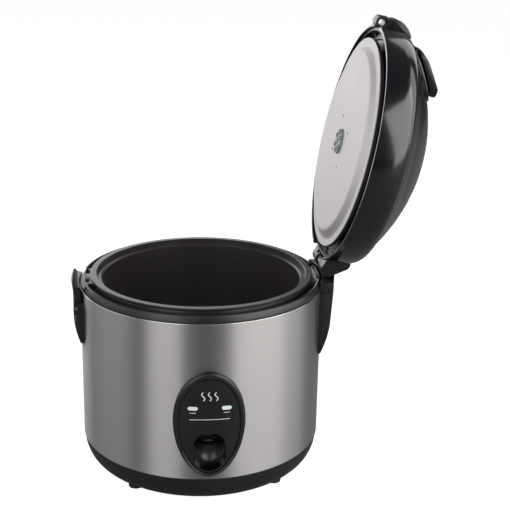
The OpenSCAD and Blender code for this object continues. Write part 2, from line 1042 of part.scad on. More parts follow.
module vent_tube() {
    color(rubber)
        opened()
            translate([vent_x, 0, band_top + 15])
                difference() {
                    union() {
                        cylinder(r = 7, h = 34);
                        translate([0, 0, 4.05])
                            cylinder(r = 8.6, h = 29.9);
                    }
                    translate([0, 0, -1])
                        cylinder(r = 5.5, h = 50);
                }
}

module vent_cap() {
    x0 = vent_x - 17;
    x1 = vent_x + 21;
    z0 = crown_z(-x0);
    z1 = crown_z(-x1);
    color(black_plastic)
        opened()
            difference() {
                intersection() {
                    rotate([90, 0, 0])
                        linear_extrude(40, center = true)
                            polygon([
                                [x0 - 1, z0 + 4.6], [x1 + 1, z1 + 5.2], [x1 + 1, z1 + 6.6], [x1 - 1.5, z1 + 7.8],
                                [x1 - 8, z1 + 7.4], [x1 - 19, z1 + 0.4], [x1 - 30, z1 - 7.2], [x0 + 1, z0 + 8.2],
                                [x0 - 1, z0 + 6]
                            ]);
                    translate([vent_x + 2, 0, band_top])
                        linear_extrude(100) {
                            square([22, 38], center = true);
                            square([38, 20], center = true);
                            for (x = [-1, 1])
                                for (y = [-1, 1])
                                    translate([x * 10, y * 10])
                                        circle(r = 9, $fn = 48);
                        }
                }
                for (y = [-8 : 4 : 8])
                    translate([vent_x + 4, y, z1 + 1])
                        rotate([0, -32.6, 0])
                            cube([10, 1.8, 2.4], center = true);
            }
}

// ---- lug that the latch holds ----

module lid_lug() {
    color(black_plastic)
        opened()
            difference() {
                union() {
                    translate([-lug_x, 0, lug_z])
                        bar_y(lug_r, lug_w);
                    rotate([90, 0, 0])
                        linear_extrude(lug_w, center = true)
                            translate([0, band_top])
                                polygon([
                                    [-lug_x, 9.6], [-lug_x - 4.9, 10.4], [-113, 15], [-112.3, 16], [-112.3, 18.6],
                                    [-113, 19.6], [-112.9, 22], [-112.2, 26], [-110.2, 30], [-107.5, 33.2],
                                    [-104, 36.2], [-100.6, 37.8], [-98, 36], [-100, 14.3], [-104.8, 14.3]
                                ]);
                }
                intersection() {
                    rotate_extrude()
                        polygon(concat([[0, skirt_z]], lid_outline(-0.03)));
                    box([-120, 0], [-40, 40], [band_top + 13.98, band_top + 90]);
                }
                translate([-lug_x, 0, lug_z])
                    bar_y(3, 60);
            }
}

outer_shell();
base_pan();
bottom_plate();
feet();
base_screws();
top_collar();
chamber_liner();
heating_plate();
heating_element();
plate_posts();
thermal_fuse();
sensor_guide();
sensor_cap();
sensor_ferrite();
sensor_spring();
magnet();
magnet_rod();
switch_bracket();
lever_pivot_pin();
microswitch();
lever_arm();
cook_lever();
control_bezel();
control_fascia();
warm_lens();
cook_lens();
warm_lamp();
cook_lamp();
lamp_board();
inlet_housing();
inlet_pins();
wiring();
hinge_bracket();
hinge_cover();
hinge_pin();
hinge_spring();
bracket_screws();
latch_housing();
latch_ears();
latch_lever();
latch_pin();
latch_spring();
inner_pot();
lid_cover();
lid_base();
lid_screws();
inner_plate();
plate_gasket();
plate_hub();
vent_platform();
vent_tube();
vent_cap();
lid_lug();
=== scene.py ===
import json
import math

import bmesh
import bpy
from mathutils import Matrix, Vector


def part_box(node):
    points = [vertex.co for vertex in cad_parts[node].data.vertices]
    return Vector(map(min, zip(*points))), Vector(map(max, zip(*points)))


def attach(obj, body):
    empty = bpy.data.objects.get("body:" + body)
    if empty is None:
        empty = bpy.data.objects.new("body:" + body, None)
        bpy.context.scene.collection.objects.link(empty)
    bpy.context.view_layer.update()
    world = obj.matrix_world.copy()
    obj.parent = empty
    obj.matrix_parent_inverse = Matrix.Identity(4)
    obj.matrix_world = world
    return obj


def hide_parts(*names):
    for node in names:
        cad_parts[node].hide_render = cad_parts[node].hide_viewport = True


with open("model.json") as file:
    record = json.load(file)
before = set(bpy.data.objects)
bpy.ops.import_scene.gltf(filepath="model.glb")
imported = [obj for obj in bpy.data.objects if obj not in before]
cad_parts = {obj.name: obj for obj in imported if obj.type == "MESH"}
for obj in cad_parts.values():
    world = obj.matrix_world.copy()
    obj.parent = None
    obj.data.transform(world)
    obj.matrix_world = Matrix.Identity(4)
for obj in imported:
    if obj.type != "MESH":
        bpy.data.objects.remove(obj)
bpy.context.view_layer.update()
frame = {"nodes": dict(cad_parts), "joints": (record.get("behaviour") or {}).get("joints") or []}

nodes = frame["nodes"]
mm = 0.001
weldGap = 0.01 * mm


# small helpers

def linear(hexText):
    channels = []
    for i in (1, 3, 5):
        c = int(hexText[i:i + 2], 16) / 255
        channels.append(c / 12.92 if c <= 0.04045 else ((c + 0.055) / 1.055) ** 2.4)
    return (*channels, 1.0)


def addNode(tree, kind, settings=None, links=None):
    made = tree.nodes.new(kind)
    for key, value in (settings or {}).items():
        if isinstance(key, int) or key in made.inputs:
            made.inputs[key].default_value = value
        else:
            setattr(made, key, value)
    for key, source in (links or {}).items():
        tree.links.new(source, made.inputs[key])
    return made


def newMaterial(name, settings):
    material = bpy.data.materials.new(name)
    material.use_nodes = True
    tree = material.node_tree
    shader = tree.nodes["Principled BSDF"]
    for key, value in settings.items():
        shader.inputs[key].default_value = value
    return material, tree, shader


def turnedBack(tree):
    # Object coordinates of a lid piece, turned back to where the lid is shut, so rings and
    # grain follow the lid and not the table
    coords = addNode(tree, "ShaderNodeTexCoord")
    moved = addNode(tree, "ShaderNodeVectorMath", {"operation": "SUBTRACT", 1: hingeSpot},
                    {0: coords.outputs["Object"]})
    turned = addNode(tree, "ShaderNodeVectorRotate", {"rotation_type": "Y_AXIS", "Angle": -openAngle},
                     {"Vector": moved.outputs[0]})
    back = addNode(tree, "ShaderNodeVectorMath", {"operation": "ADD", 1: hingeSpot}, {0: turned.outputs[0]})
    return back.outputs[0]


def ringCoordinates(tree, source):
    # Arc length, radius and height round the body's axis, in metres
    parts = addNode(tree, "ShaderNodeSeparateXYZ", None, {0: source})
    flat = addNode(tree, "ShaderNodeCombineXYZ", None, {"X": parts.outputs["X"], "Y": parts.outputs["Y"]})
    radius = addNode(tree, "ShaderNodeVectorMath", {"operation": "LENGTH"}, {0: flat.outputs[0]})
    angle = addNode(tree, "ShaderNodeMath", {"operation": "ARCTAN2"},
                    {0: parts.outputs["Y"], 1: parts.outputs["X"]})
    arc = addNode(tree, "ShaderNodeMath", {"operation": "MULTIPLY"},
                  {0: angle.outputs[0], 1: radius.outputs["Value"]})
    return arc.outputs[0], radius.outputs["Value"], parts.outputs["Z"]


def addBump(tree, shader, height, strength, distance):
    bump = addNode(tree, "ShaderNodeBump", {"Strength": strength, "Distance": distance}, {"Height": height})
    tree.links.new(bump.outputs[0], shader.inputs["Normal"])


def spread(tree, shader, socket, factor, low, high):
    # noise seldom leaves the middle of its range, so that is what is stretched
    ranged = addNode(tree, "ShaderNodeMapRange",
                     {"From Min": 0.3, "From Max": 0.7, "To Min": low, "To Max": high}, {"Value": factor})
    tree.links.new(ranged.outputs[0], shader.inputs[socket])


def tint(tree, shader, factor, darkHex, lightHex):
    mixed = mixedColour(tree, factor, darkHex, lightHex)
    tree.links.new(mixed.outputs[2], shader.inputs["Base Color"])


def mixedColour(tree, factor, darkHex, lightHex):
    return addNode(tree, "ShaderNodeMix", {"data_type": "RGBA", 6: linear(darkHex), 7: linear(lightHex)},
                   {0: factor})


def smoothed(mesh, angle=40):
    # Shade smooth, with a hard line where faces meet at more than angle degrees
    for polygon in mesh.polygons:
        polygon.use_smooth = True
    mesh.set_sharp_from_angle(angle=math.radians(angle))


def linked(name, mesh):
    piece = bpy.data.objects.new(name, mesh)
    bpy.context.scene.collection.objects.link(piece)
    return piece


def makePiece(name, points, faces, material, body):
    # points in millimetres
    mesh = bpy.data.meshes.new(name)
    mesh.from_pydata([Vector(p) * mm for p in points], [], faces)
    shape = bmesh.new()
    shape.from_mesh(mesh)
    bmesh.ops.remove_doubles(shape, verts=shape.verts, dist=weldGap)
    bmesh.ops.recalc_face_normals(shape, faces=shape.faces)
    shape.to_mesh(mesh)
    shape.free()
    smoothed(mesh)
    piece = linked(name, mesh)
    mesh.materials.append(material)
    finish(piece, body)
    return piece


def finish(piece, body):
    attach(piece, body)


def baked(piece, name):
    # The evaluated shape as a plain mesh, with its modifiers gone
    bpy.context.view_layer.update()
    mesh = bpy.data.meshes.new_from_object(piece.evaluated_get(bpy.context.evaluated_depsgraph_get()))
    piece.modifiers.clear()
    piece.data = mesh
    mesh.name = name
    return mesh


def ringFaces(count, size):
    # Quads between count closed outlines of size points each, the last joined to the first
    faces = []
    for i in range(count):
        j = (i + 1) % count
        for k in range(size):
            n = (k + 1) % size
            faces.append((i * size + k, j * size + k, j * size + n, i * size + n))
    return faces


def lathe(profile, count):
    # Closed profile of (radius, height) spun round the body's axis
    points = []
    for i in range(count):
        a = 2 * math.pi * i / count
        points += [(r * math.cos(a), r * math.sin(a), z) for r, z in profile]
    return points, ringFaces(count, len(profile))


def bead(radius, height, thick, count=10):
    return [(radius + thick * math.cos(2 * math.pi * i / count), height + thick * math.sin(2 * math.pi * i / count))
            for i in range(count)]


def swungOpen(points):
    turn = Matrix.Rotation(openAngle, 3, "Y")
    centre = Vector(hingeSpot) / mm
    return [tuple(turn @ (Vector(p) - centre) + centre) for p in points]


# sizes that the pieces share, read from the frame

lidJoint = next(j for j in frame["joints"] if j["name"] == "lid_hinge")
hingeSpot = tuple(lidJoint["pos_m"])
openAngle = math.radians(-lidJoint["range_deg"][0])
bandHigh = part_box("outer_shell")[1].z / mm
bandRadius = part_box("outer_shell")[1].x / mm
panelLow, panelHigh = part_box("control_bezel")
panelMiddle = (panelLow.z + panelHigh.z) / 2 / mm
lensMiddle = (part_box("cook_lens")[0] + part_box("cook_lens")[1]) / 2 / mm
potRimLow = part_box("inner_pot")[1].z / mm - 1.85   # underside of the pot's rolled rim
print("stage: sizes read")


# the viewpoint: a little above the lid, almost straight in front of the panel
cameraRig = {
    "distance": 958.5,  # mm from the body's axis, level with the floor
    "height": 510.0,
    "turn": 3.8,        # degrees from straight in front, towards the latch
    "yaw": 2.85,
    "pitch": 18.2,
    "roll": 1.15,
    "lens": 79.63,
    "sensor": 36,
    "reach": 20,        # metres
}


def makeCamera():
    turn, yaw, pitch, roll = (math.radians(cameraRig[key]) for key in ("turn", "yaw", "pitch", "roll"))
    spin = Matrix.Rotation(-turn, 3, "Z")
    place = spin @ Vector((0, -cameraRig["distance"], 0)) + Vector((0, 0, cameraRig["height"]))
    level = math.cos(pitch)
    ahead = spin @ Vector((math.sin(yaw) * level, math.cos(yaw) * level, -math.sin(pitch)))
    right = spin @ Vector((math.cos(yaw), -math.sin(yaw), 0))
    up = right.cross(ahead)
    right, up = (math.cos(roll) * right + math.sin(roll) * up,
                 math.cos(roll) * up - math.sin(roll) * right)
    data = bpy.data.cameras.new("camera")
    data.lens = cameraRig["lens"]
    data.sensor_width = cameraRig["sensor"]
    data.clip_end = cameraRig["reach"]
    camera = linked("camera", data)
    frameOf = Matrix((right, up, -ahead)).transposed().to_4x4()
    frameOf.translation = place * mm
    camera.matrix_world = frameOf
    bpy.context.scene.camera = camera


makeCamera()


steelLook = {
    "dark": "#a7a4a4",
    "light": "#b4b2b0",
    "roughness": (0.39, 0.46),
    "plainRoughness": 0.42,
    "anisotropy": 0.92,
    "quarterTurn": 0.25,          # the light spreads across the lines, so the bands stand upright
    "lines": (9, 1500, 1),        # the real grit lines are 0.05 mm apart; drawn 0.7 mm apart so that they show
    "relief": (0.05, 0.04),       # strength, and depth in mm
}


def brushedStainless():
    # Cold rolled stainless sheet, brushed round the body before it was rolled up: soft upright
    # bands of light, fine lines running round
    material, tree, shader = newMaterial("brushedStainless", {
        "Metallic": 1.0, "Roughness": steelLook["plainRoughness"], "Anisotropic": steelLook["anisotropy"],
        "Anisotropic Rotation": steelLook["quarterTurn"]})
    coords = addNode(tree, "ShaderNodeTexCoord")
    arc, _, height = ringCoordinates(tree, coords.outputs["Object"])
    lines = addNode(tree, "ShaderNodeCombineXYZ", None, {"X": arc, "Y": height})
    stretched = addNode(tree, "ShaderNodeMapping", {"Scale": steelLook["lines"]}, {"Vector": lines.outputs[0]})
    grit = addNode(tree, "ShaderNodeTexNoise", {"Scale": 1.0, "Detail": 3.0, "Roughness": 0.6},
                   {"Vector": stretched.outputs[0]})
    spread(tree, shader, "Roughness", grit.outputs[0], *steelLook["roughness"])
    tint(tree, shader, grit.outputs[0], steelLook["dark"], steelLook["light"])
    addBump(tree, shader, grit.outputs[0], steelLook["relief"][0], steelLook["relief"][1] * mm)
    around = addNode(tree, "ShaderNodeTangent", {"direction_type": "RADIAL", "axis": "Z"})
    tree.links.new(around.outputs[0], shader.inputs["Tangent"])
    return material


def polishedEdgeWithPaintedHighlight():
    # The sheared and polished edge of the same sheet, smoother than the band; its colour is painted much lighter than
    # the band's own steel, a painted highlight that gives the bright line
    material, tree, shader = newMaterial("polishedSheetEdgeWithPaintedHighlight", {"Metallic": 1.0, "Roughness": 0.18})
    coords = addNode(tree, "ShaderNodeTexCoord")
    wearOnHighlight = addNode(tree, "ShaderNodeTexNoise", {"Scale": 300.0, "Detail": 2.0}, {"Vector": coords.outputs["Object"]})
    # both colours are far lighter than the band's steel: painted highlight, with a little random tone between them
    tint(tree, shader, wearOnHighlight.outputs[0], "#c9c6c3", "#efedea")
    spread(tree, shader, "Roughness", wearOnHighlight.outputs[0], 0.14, 0.24)
    return material


def mouldedPlastic(name, settings, dark, light, grain, relief, rough, onLid=False):
    # grain and relief in mm; the colour and gloss drift slowly over the part, as in any moulding
    material, tree, shader = newMaterial(name, settings)
    source = turnedBack(tree) if onLid else addNode(tree, "ShaderNodeTexCoord").outputs["Object"]
    texture = addNode(tree, "ShaderNodeTexNoise", {"Scale": 1 / (grain * mm), "Detail": 2.0, "Roughness": 0.5},
                      {"Vector": source})
    clouds = addNode(tree, "ShaderNodeTexNoise", {"Scale": 22.0, "Detail": 2.0}, {"Vector": source})
    tint(tree, shader, clouds.outputs[0], dark, light)
    spread(tree, shader, "Roughness", clouds.outputs[0], *rough)
    addBump(tree, shader, texture.outputs[0], 0.25, relief * mm)
    return material


potLook = {
    "metalDark": "#dadcdb",
    "metalLight": "#e3e5e4",
    "metalRough": 0.55,
    "coatDark": "#211f1e",
    "coatLight": "#3a3633",
    "coatRough": 0.34,
    "lines": (12, 1500, 1),       # drawing lines run round the wall, 0.7 mm apart
    "speck": 900.0,               # specks of about 1 mm in the coat
    "relief": (0.12, 0.05),       # strength, and depth in mm
}


def coatedPot():
    # Deep drawn aluminium: satin metal outside, a dark speckled non-stick coat inside that
    # wraps over the rim
    material, tree, shader = newMaterial("drawnAluminiumWithNonstick", {"IOR": 1.5})
    coords = addNode(tree, "ShaderNodeTexCoord").outputs["Object"]
    arc, _, height = ringCoordinates(tree, coords)
    normal = addNode(tree, "ShaderNodeNewGeometry").outputs["True Normal"]
    outward = addNode(tree, "ShaderNodeVectorMath", {"operation": "MULTIPLY", 1: (1, 1, 0)}, {0: coords})
    outward = addNode(tree, "ShaderNodeVectorMath", {"operation": "NORMALIZE"}, {0: outward.outputs[0]})
    facing = addNode(tree, "ShaderNodeVectorMath", {"operation": "DOT_PRODUCT"}, {0: normal, 1: outward.outputs[0]})
    upward = addNode(tree, "ShaderNodeSeparateXYZ", None, {0: normal})
    inner = addNode(tree, "ShaderNodeMath", {"operation": "LESS_THAN", 1: -0.2}, {0: facing.outputs["Value"]})
    top = addNode(tree, "ShaderNodeMath", {"operation": "GREATER_THAN", 1: 0.2}, {0: upward.outputs["Z"]})
    rim = addNode(tree, "ShaderNodeMath", {"operation": "GREATER_THAN", 1: potRimLow * mm}, {0: height})
    either = addNode(tree, "ShaderNodeMath", {"operation": "MAXIMUM"}, {0: inner.outputs[0], 1: top.outputs[0]})
    coated = addNode(tree, "ShaderNodeMath", {"operation": "MAXIMUM"}, {0: either.outputs[0], 1: rim.outputs[0]})
    lines = addNode(tree, "ShaderNodeCombineXYZ", None, {"X": arc, "Y": height})
    stretched = addNode(tree, "ShaderNodeMapping", {"Scale": potLook["lines"]}, {"Vector": lines.outputs[0]})
    drawn = addNode(tree, "ShaderNodeTexNoise", {"Scale": 1.0, "Detail": 2.0}, {"Vector": stretched.outputs[0]})
    speck = addNode(tree, "ShaderNodeTexNoise", {"Scale": potLook["speck"], "Detail": 1.0}, {"Vector": coords})
    metal = mixedColour(tree, drawn.outputs[0], potLook["metalDark"], potLook["metalLight"])
    coat = mixedColour(tree, speck.outputs[0], potLook["coatDark"], potLook["coatLight"])
    colour = addNode(tree, "ShaderNodeMix", {"data_type": "RGBA"},
                     {0: coated.outputs[0], 6: metal.outputs[2], 7: coat.outputs[2]})
    tree.links.new(colour.outputs[2], shader.inputs["Base Color"])
    bare = addNode(tree, "ShaderNodeMath", {"operation": "SUBTRACT", 0: 1.0}, {1: coated.outputs[0]})
    tree.links.new(bare.outputs[0], shader.inputs["Metallic"])
    rough = addNode(tree, "ShaderNodeMapRange", {"To Min": potLook["metalRough"], "To Max": potLook["coatRough"]},
                    {"Value": coated.outputs[0]})
    tree.links.new(rough.outputs[0], shader.inputs["Roughness"])
    addBump(tree, shader, speck.outputs[0], potLook["relief"][0], potLook["relief"][1] * mm)
    return material


def turnedMetal(name, dark, light, pitch, rough, onLid=False):
    # Sheet or casting that was turned or polished on its own axis: faint rings, pitch mm apart
    material, tree, shader = newMaterial(name, {"Metallic": 1.0})
    source = turnedBack(tree) if onLid else addNode(tree, "ShaderNodeTexCoord").outputs["Object"]
    _, radius, _ = ringCoordinates(tree, source)
    rings = addNode(tree, "ShaderNodeTexNoise",
                    {"noise_dimensions": "1D", "Scale": 1 / (pitch * mm), "Detail": 2.0}, {"W": radius})
    haze = addNode(tree, "ShaderNodeTexNoise", {"Scale": 30.0, "Detail": 3.0}, {"Vector": source})
    blend = addNode(tree, "ShaderNodeMath", {"operation": "MULTIPLY_ADD", 1: 0.5, 2: 0.0}, {0: rings.outputs[0]})
    joined = addNode(tree, "ShaderNodeMath", {"operation": "MULTIPLY_ADD", 1: 0.5},
                     {0: haze.outputs[0], 2: blend.outputs[0]})
    tint(tree, shader, joined.outputs[0], dark, light)
    spread(tree, shader, "Roughness", joined.outputs[0], *rough)
    addBump(tree, shader, rings.outputs[0], 0.08, 0.05 * mm)
    return material


def grainyMetal(name, dark, light, grain, rough):
    # Plated or heated steel: small crystals, grain mm across, each a little lighter or darker
    material, tree, shader = newMaterial(name, {"Metallic": 1.0})
    coords = addNode(tree, "ShaderNodeTexCoord")
    crystals = addNode(tree, "ShaderNodeTexVoronoi", {"Scale": 1 / (grain * mm)}, {"Vector": coords.outputs["Object"]})
    tint(tree, shader, crystals.outputs["Color"], dark, light)
    spread(tree, shader, "Roughness", crystals.outputs["Distance"], *rough)
    addBump(tree, shader, crystals.outputs["Distance"], 0.15, 0.06 * mm)
    return material


steel = brushedStainless()
# the edge metal is coloured lighter than the band: a painted highlight
sheetEdgePaintedHighlight = polishedEdgeWithPaintedHighlight()

# ABS shot into a polished tool: deep black with a clear reflection
clearCoat = {"IOR": 1.54, "Coat Weight": 0.3, "Coat Roughness": 0.06}
glossAbs = mouldedPlastic("polishedAbs", clearCoat, "#07080a", "#0c0d10",
                          grain=2.4, relief=0.010, rough=(0.10, 0.16))
# the same on the lid, with its ripple turned to follow the lid
lidAbs = mouldedPlastic("polishedLidAbs", clearCoat, "#07080c", "#0c0e13",
                        grain=3.0, relief=0.006, rough=(0.14, 0.20), onLid=True)
# polypropylene from a fine spark-eroded tool: satin black with broad soft highlights
satinPolypropylene = mouldedPlastic("satinPolypropylene", {"IOR": 1.49}, "#0d0e11", "#15171b",
                                    grain=0.7, relief=0.03, rough=(0.30, 0.40))
lidPolypropylene = mouldedPlastic("satinLidPolypropylene", {"IOR": 1.49}, "#0d0e11", "#15161a",
                                  grain=0.7, relief=0.02, rough=(0.22, 0.32), onLid=True)
# nitrile rubber, moulded: dull and almost black
mouldedRubber = mouldedPlastic("mouldedRubber", {"IOR": 1.52}, "#18181a", "#232325",
                               grain=0.5, relief=0.03, rough=(0.62, 0.75))
# silicone, moulded: grey-green, waxy, a little light inside
silicone = mouldedPlastic("mouldedSilicone", {"IOR": 1.42, "Subsurface Weight": 0.1}, "#7d8382", "#929795",
                          grain=0.6, relief=0.02, rough=(0.42, 0.52), onLid=True)
# diffusing acrylic, moulded: white and even
opalAcrylic = mouldedPlastic("opalAcrylic", {"IOR": 1.49, "Subsurface Weight": 0.3}, "#eceeee", "#fafbfb",
                             grain=0.8, relief=0.01, rough=(0.16, 0.22))
# lamp glass, blown and dipped in amber or red lacquer: a warm glossy bead
amberGlass = mouldedPlastic("neonLampGlass", {"IOR": 1.5}, "#c9792e", "#e29a4c",
                            grain=0.8, relief=0.01, rough=(0.10, 0.16))
redGlass = mouldedPlastic("redLampGlass", {"IOR": 1.5}, "#a8321f", "#c94a30",
                          grain=0.8, relief=0.01, rough=(0.10, 0.16))
# natural nylon, moulded: cream and slightly waxy
nylon = mouldedPlastic("mouldedNylon", {"IOR": 1.53}, "#b9b39c", "#c8c3ae",
                       grain=0.6, relief=0.02, rough=(0.40, 0.50))
# steatite, pressed and glazed: ivory with a hard shine
glazedCeramic = mouldedPlastic("glazedCeramic", {"IOR": 1.55}, "#cfcabb", "#ddd9cc",
                               grain=1.0, relief=0.02, rough=(0.14, 0.22))
# glass cloth in epoxy with a solder mask: green, half gloss, the weave just showing
lacqueredBoard = mouldedPlastic("lacqueredEpoxyBoard", {"IOR": 1.55}, "#23512f", "#2f6a3e",
                                grain=0.5, relief=0.02, rough=(0.25, 0.35))
# PVC extruded over wire: red and smooth
wirePvc = mouldedPlastic("extrudedPvc", {"IOR": 1.53}, "#8e2f24", "#a63c2e",
                         grain=0.8, relief=0.02, rough=(0.35, 0.45))
# ink laid on through a screen: flat, pale grey, no shine
printInk = mouldedPlastic("screenPrintInk", {"IOR": 1.5}, "#d4d6d8", "#e4e6e8",
                          grain=0.4, relief=0.005, rough=(0.45, 0.55))
# iron oxide, pressed and fired: dark grey and stony
ferrite = mouldedPlastic("sinteredFerrite", {"IOR": 2.0}, "#2b2c2f", "#3a3b3e",
                         grain=0.5, relief=0.04, rough=(0.50, 0.62))
potFinish = coatedPot()
# pressed sheet, satin: pale with a touch of pink, light spread softly over it
plateAluminium = turnedMetal("pressedAluminium", "#c9c5c8", "#dad6d9", pitch=1.2, rough=(0.62, 0.72), onLid=True)
# mill finished sheet, rolled round: a cooler grey with clearer reflections
linerAluminium = turnedMetal("rolledAluminium", "#a9aaac", "#c6c7c9", pitch=1.6, rough=(0.30, 0.42))
# a casting faced on a lathe: darker, with closer rings
castAluminium = turnedMetal("turnedAluminiumCasting", "#8f9092", "#a9aaac", pitch=1.0, rough=(0.34, 0.46))
# zinc plate on steel: cool grey with a fine spangle
zincSteel = grainyMetal("zincPlatedSteel", "#8c8f92", "#a7abae", grain=0.8, rough=(0.28, 0.40))
# a steel sheath that has been red hot: brown and dull
tintedSheath = grainyMetal("heatTintedSheath", "#57504a", "#6d645c", grain=0.9, rough=(0.35, 0.48))
print("stage: materials made")

finishes = {
    steel: ["outer_shell"],
    satinPolypropylene: ["base_pan", "top_collar", "microswitch", "inlet_housing", "hinge_bracket",
                         "hinge_cover", "latch_housing", "latch_ears", "latch_lever", "cook_lever",
                         "control_bezel"],
    glossAbs: ["control_fascia"],
    lidAbs: ["lid_cover", "vent_platform"],
    lidPolypropylene: ["lid_base", "vent_cap", "lid_lug"],
    mouldedRubber: ["feet", "vent_tube", "plate_gasket"],
    silicone: ["plate_hub"],
    opalAcrylic: ["warm_lens", "cook_lens"],
    amberGlass: ["warm_lamp"],
    redGlass: ["cook_lamp"],
    nylon: ["lever_arm"],
    glazedCeramic: ["thermal_fuse"],
    lacqueredBoard: ["lamp_board"],
    wirePvc: ["wiring"],
    potFinish: ["inner_pot"],
    plateAluminium: ["inner_plate"],
    linerAluminium: ["chamber_liner", "sensor_cap"],
    castAluminium: ["heating_plate"],
    tintedSheath: ["heating_element"],
    ferrite: ["magnet", "sensor_ferrite"],
    zincSteel: ["bottom_plate", "base_screws", "plate_posts", "sensor_guide", "sensor_spring",
                "magnet_rod", "switch_bracket", "lever_pivot_pin", "inlet_pins", "hinge_pin",
                "hinge_spring", "bracket_screws", "lid_screws", "latch_pin", "latch_spring"],
}
for material, names in finishes.items():
    for name in names:
        mesh = nodes[name].data
        mesh.materials.clear()
        mesh.materials.append(material)
print("stage: frame finished")


# angles in degrees: edges sharper than "turn" are rounded, faces flatter than "flat" are joined
rounding = {"segments": 3, "turn": 30, "flat": 2, "weld": 0.02, "crease": 32}


# smooth copies with softened edges that stand in for plain moulded solids
def softened(name, pieceName, width, material, bodyName):
    mesh = nodes[name].data.copy()
    mesh.name = pieceName
    shape = bmesh.new()
    shape.from_mesh(mesh)
    bmesh.ops.remove_doubles(shape, verts=shape.verts, dist=rounding["weld"] * mm)
    bmesh.ops.dissolve_limit(shape, angle_limit=math.radians(rounding["flat"]), verts=shape.verts, edges=shape.edges)
    shape.to_mesh(mesh)
    shape.free()
    mesh.materials.clear()
    mesh.materials.append(material)
    piece = linked(pieceName, mesh)
    bevel = piece.modifiers.new("edge", "BEVEL")
    bevel.width = width * mm
    bevel.segments = rounding["segments"]
    bevel.limit_method = "ANGLE"
    bevel.angle_limit = math.radians(rounding["turn"])
    bevel.harden_normals = False
    smoothed(baked(piece, pieceName), rounding["crease"])
    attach(piece, bodyName)
    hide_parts(name)


# node name: piece name, width of the rounding in mm, material, body, slot
softEdges = {
    "latch_housing": ("latchHousing", 0.8, satinPolypropylene, "base", "black"),
    "latch_lever": ("latchLever", 0.6, satinPolypropylene, "latch", "black"),
    "lid_lug": ("lidLug", 0.5, lidPolypropylene, "lid", "black"),
    "hinge_cover": ("hingeCover", 0.9, satinPolypropylene, "base", "black"),
    "hinge_bracket": ("hingeBracket", 0.5, satinPolypropylene, "base", "black"),
    "top_collar": ("collarRing", 0.35, satinPolypropylene, "base", "black"),
    "control_fascia": ("fasciaPanel", 0.3, glossAbs, "base", "gloss_black"),
    "cook_lever": ("thumbLever", 0.5, satinPolypropylene, "lever", "black"),
    "vent_cap": ("steamCap", 0.6, lidPolypropylene, "vent", "black"),
    "vent_platform": ("ventPlatform", 0.5, lidAbs, "lid", "gloss_black"),
    "lid_cover": ("lidShell", 0.5, lidAbs, "lid", "gloss_black"),
}
for name, (pieceName, width, material, bodyName, slot) in softEdges.items():
    softened(name, pieceName, width, material, bodyName)
print("stage: softened pieces made")


# the raised oval rim round the panel
bezel = {
    "width": 61.0,
    "height": 95.0,
    "innerWidth": 52.0,
    "innerHeight": 86.0,
    "innerDrop": 2.0,
    "steps": 96,
    "egg": 0.05,         # wider above the middle than below
    # how far along from the outer to the inner outline, and how proud of the steel
    "section": [(0.0, 0.05), (0.0, 1.9), (0.05, 2.9), (0.16, 3.75), (0.34, 4.15), (0.60, 4.2),
                (0.80, 3.9), (0.93, 3.2), (1.0, 2.2), (1.0, 0.05)],
}


def eggPoint(angle, width, height):
    return (width / 2 * math.cos(angle) * (1 + bezel["egg"] * math.sin(angle)), height / 2 * math.sin(angle))


def onPanel(x, z, proud):
    # The panel wraps the steel band
    reach = bandRadius + proud
    return (x, -math.sqrt(reach * reach - x * x), z)


def makeBezel():
    points = []
    for i in range(bezel["steps"]):
        a = 2 * math.pi * i / bezel["steps"]
        outer = eggPoint(a, bezel["width"], bezel["height"])
        inner = eggPoint(a, bezel["innerWidth"], bezel["innerHeight"])
        for share, proud in bezel["section"]:
            x = outer[0] + (inner[0] - outer[0]) * share
            z = panelMiddle + outer[1] + (inner[1] - bezel["innerDrop"] - outer[1]) * share
            points.append(onPanel(x, z, proud))
    faces = ringFaces(bezel["steps"], len(bezel["section"]))
    piece = makePiece("panelBezel", points, faces, satinPolypropylene, "base")
    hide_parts("control_bezel")


makeBezel()


marks = {
    "lineLength": 34.0,
    "lineHeight": 0.45,
    "lineDrop": 10.2,   # below the lenses
    "dashWidth": 5.2,
    "dashDrop": 4.2,
    "curlOffsets": (-5.5, 0.0, 5.5),
    "curlSwing": 1.3,
    "curlLift": 7.0,    # above the lenses
    "curlHeight": 7.5,
    "curlThick": 0.8,
    "steps": 16,
    "dashSteps": 6,
    "proud": 2.63,
    "thick": 0.06,
}


def printedStroke(route, thick):
    # A flat ribbon of ink that follows a route of (x, z) on the panel
    points, faces = [], []
    for i, (x, z) in enumerate(route):
        before = Vector(route[max(i - 1, 0)])
        after = Vector(route[min(i + 1, len(route) - 1)])
        side = (after - before).normalized()
        side = Vector((-side.y, side.x)) * thick / 2
        for sign in (1, -1):
            for proud in (marks["proud"], marks["proud"] + marks["thick"]):
                points.append(onPanel(x + sign * side.x, z + sign * side.y, proud))
    count = len(route)
    for i in range(count - 1):
        a, b = 4 * i, 4 * (i + 1)
        faces += [(a + k, b + k, b + n, a + n) for k, n in ((0, 1), (1, 3), (3, 2), (2, 0))]
    faces += [(0, 1, 3, 2), (4 * count - 4, 4 * count - 2, 4 * count - 1, 4 * count - 3)]
    return points, faces


